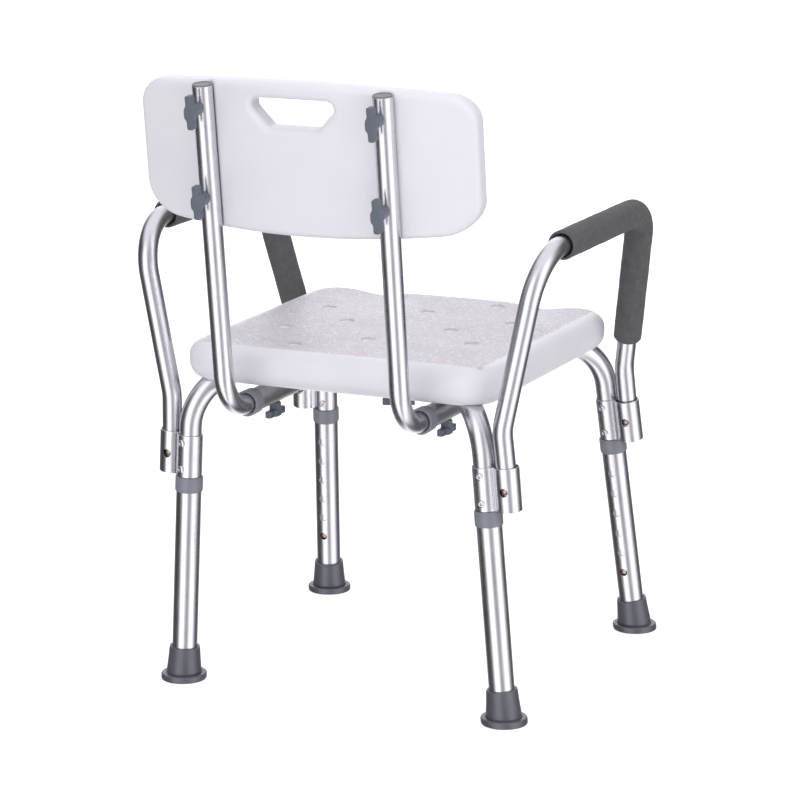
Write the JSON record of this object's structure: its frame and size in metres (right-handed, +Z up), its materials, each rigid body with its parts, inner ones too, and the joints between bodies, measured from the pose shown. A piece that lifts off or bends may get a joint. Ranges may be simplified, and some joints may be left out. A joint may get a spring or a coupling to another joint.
{
  "type": "shower chair",
  "caption": "Free-standing shower chair with a moulded seat and backrest, lift-off padded armrests and height-adjustable tube legs.",
  "frame": {"origin": "on the floor, at the centre of the underside of the bounding box of the whole chair", "axes": "+Z up, the sitter faces -Y, +X is the sitter's left"},
  "size_m": [0.5164, 0.5546, 0.713],
  "materials": {
    "white_plastic": "blow-moulded polyethylene, smooth sides and a pebbled seat top",
    "aluminium": "satin anodised drawn tube and extrusion",
    "rivet_steel": "bright domed rivet",
    "button_brass": "copper-coloured snap button",
    "foot_rubber": "grey moulded rubber",
    "grip_foam": "closed-cell foam sleeve, fine grain",
    "grey_plastic": "grey moulded plastic",
    "knob_plastic": "slate-grey moulded plastic"
  },
  "bodies": {
    "seat_frame": {"seat": "white_plastic", "leg_frame_a": "aluminium", "leg_frame_b": "aluminium", "receiver_tube_left": "aluminium", "receiver_tube_right": "aluminium", "receiver_collar_left": "grey_plastic", "receiver_collar_right": "grey_plastic", "clamp_back_left": "aluminium", "clamp_rivet_upper_back_left": "rivet_steel", "clamp_rivet_lower_back_left": "rivet_steel", "clamp_back_right": "aluminium", "clamp_rivet_upper_back_right": "rivet_steel", "clamp_rivet_lower_back_right": "rivet_steel", "clamp_front_left": "aluminium", "clamp_rivet_upper_front_left": "rivet_steel", "clamp_rivet_lower_front_left": "rivet_steel", "clamp_front_right": "aluminium", "clamp_rivet_upper_front_right": "rivet_steel", "clamp_rivet_lower_front_right": "rivet_steel"},
    "leg_back_left": {"lower_leg_back_left": "aluminium", "leg_collar_back_left": "grey_plastic", "foot_back_left": "foot_rubber"},
    "leg_snap_back_left": {"leg_button_back_left": "button_brass"},
    "leg_back_right": {"lower_leg_back_right": "aluminium", "leg_collar_back_right": "grey_plastic", "foot_back_right": "foot_rubber"},
    "leg_snap_back_right": {"leg_button_back_right": "button_brass"},
    "leg_front_left": {"lower_leg_front_left": "aluminium", "leg_collar_front_left": "grey_plastic", "foot_front_left": "foot_rubber"},
    "leg_snap_front_left": {"leg_button_front_left": "button_brass"},
    "leg_front_right": {"lower_leg_front_right": "aluminium", "leg_collar_front_right": "grey_plastic", "foot_front_right": "foot_rubber"},
    "leg_snap_front_right": {"leg_button_front_right": "button_brass"},
    "armrest_left": {"armrest_tube_left": "aluminium", "foam_grip_left": "grip_foam"},
    "armrest_snap_back_left": {"arm_button_back_left": "button_brass"},
    "armrest_snap_front_left": {"arm_button_front_left": "button_brass"},
    "armrest_right": {"armrest_tube_right": "aluminium", "foam_grip_right": "grip_foam"},
    "armrest_snap_back_right": {"arm_button_back_right": "button_brass"},
    "armrest_snap_front_right": {"arm_button_front_right": "button_brass"},
    "backrest": {"backrest_panel": "white_plastic", "backrest_post_left": "aluminium", "backrest_post_right": "aluminium", "post_cap_left": "grey_plastic", "post_cap_right": "grey_plastic"},
    "backrest_knob_upper_left": {"backrest_knob_upper_left": "knob_plastic"},
    "backrest_knob_lower_left": {"backrest_knob_lower_left": "knob_plastic"},
    "backrest_knob_upper_right": {"backrest_knob_upper_right": "knob_plastic"},
    "backrest_knob_lower_right": {"backrest_knob_lower_right": "knob_plastic"},
    "receiver_knob_left": {"receiver_knob_left": "knob_plastic"},
    "receiver_knob_right": {"receiver_knob_right": "knob_plastic"},
    "centre_knob": {"centre_knob": "knob_plastic"}
  },
  "joints": [
    {"name": "leg_extend_back_left", "type": "slide", "parent": "seat_frame", "child": "leg_back_left", "axis": [0.0669, -0.0322, -0.9972], "range_m": [0, 0.127]},
    {"name": "leg_button_back_left", "type": "slide", "parent": "seat_frame", "child": "leg_snap_back_left", "axis": [0, -0.9995, 0.0323], "range_m": [0, 0.004]},
    {"name": "leg_extend_back_right", "type": "slide", "parent": "seat_frame", "child": "leg_back_right", "axis": [-0.0669, -0.0322, -0.9972], "range_m": [0, 0.127]},
    {"name": "leg_button_back_right", "type": "slide", "parent": "seat_frame", "child": "leg_snap_back_right", "axis": [0, -0.9995, 0.0323], "range_m": [0, 0.004]},
    {"name": "leg_extend_front_left", "type": "slide", "parent": "seat_frame", "child": "leg_front_left", "axis": [0.0661, -0.1552, -0.9857], "range_m": [0, 0.127]},
    {"name": "leg_button_front_left", "type": "slide", "parent": "seat_frame", "child": "leg_snap_front_left", "axis": [0, 0.9878, -0.1556], "range_m": [0, 0.004]},
    {"name": "leg_extend_front_right", "type": "slide", "parent": "seat_frame", "child": "leg_front_right", "axis": [-0.0661, -0.1552, -0.9857], "range_m": [0, 0.127]},
    {"name": "leg_button_front_right", "type": "slide", "parent": "seat_frame", "child": "leg_snap_front_right", "axis": [0, 0.9878, -0.1556], "range_m": [0, 0.004]},
    {"name": "armrest_lift_left", "type": "slide", "parent": "seat_frame", "child": "armrest_left", "axis": [-0.0667, 0.0943, 0.9933], "range_m": [0, 0.06]},
    {"name": "arm_button_back_left", "type": "slide", "parent": "armrest_left", "child": "armrest_snap_back_left", "axis": [0.0063, 0.9955, -0.0941], "range_m": [0, 0.0045]},
    {"name": "arm_button_front_left", "type": "slide", "parent": "armrest_left", "child": "armrest_snap_front_left", "axis": [0.0063, 0.9955, -0.0941], "range_m": [0, 0.0045]},
    {"name": "armrest_lift_right", "type": "slide", "parent": "seat_frame", "child": "armrest_right", "axis": [0.0667, 0.0943, 0.9933], "range_m": [0, 0.06]},
    {"name": "arm_button_back_right", "type": "slide", "parent": "armrest_right", "child": "armrest_snap_back_right", "axis": [-0.0063, 0.9955, -0.0941], "range_m": [0, 0.0045]},
    {"name": "arm_button_front_right", "type": "slide", "parent": "armrest_right", "child": "armrest_snap_front_right", "axis": [-0.0063, 0.9955, -0.0941], "range_m": [0, 0.0045]},
    {"name": "backrest_slide", "type": "slide", "parent": "seat_frame", "child": "backrest", "axis": [0, 1, 0], "range_m": [0, 0.1]},
    {"name": "backrest_knob_upper_left_turn", "type": "hinge", "parent": "backrest", "child": "backrest_knob_upper_left", "pos_m": [0.11113, 0.24123, 0.6815], "axis": [0, 0.9932, -0.1166], "continuous": true},
    {"name": "backrest_knob_lower_left_turn", "type": "hinge", "parent": "backrest", "child": "backrest_knob_lower_left", "pos_m": [0.11113, 0.22966, 0.583], "axis": [0, 0.9932, -0.1166], "continuous": true},
    {"name": "backrest_knob_upper_right_turn", "type": "hinge", "parent": "backrest", "child": "backrest_knob_upper_right", "pos_m": [-0.10087, 0.24123, 0.6815], "axis": [0, 0.9932, -0.1166], "continuous": true},
    {"name": "backrest_knob_lower_right_turn", "type": "hinge", "parent": "backrest", "child": "backrest_knob_lower_right", "pos_m": [-0.10087, 0.22966, 0.583], "axis": [0, 0.9932, -0.1166], "continuous": true},
    {"name": "receiver_knob_left_turn", "type": "hinge", "parent": "seat_frame", "child": "receiver_knob_left", "pos_m": [0.11113, 0.08248, 0.3], "axis": [0, 0, -1], "continuous": true},
    {"name": "receiver_knob_right_turn", "type": "hinge", "parent": "seat_frame", "child": "receiver_knob_right", "pos_m": [-0.10087, 0.08248, 0.3], "axis": [0, 0, -1], "continuous": true},
    {"name": "centre_knob_turn", "type": "hinge", "parent": "seat_frame", "child": "centre_knob", "pos_m": [0.00513, -0.02034, 0.32], "axis": [0, 0, -1], "continuous": true}
  ]
}
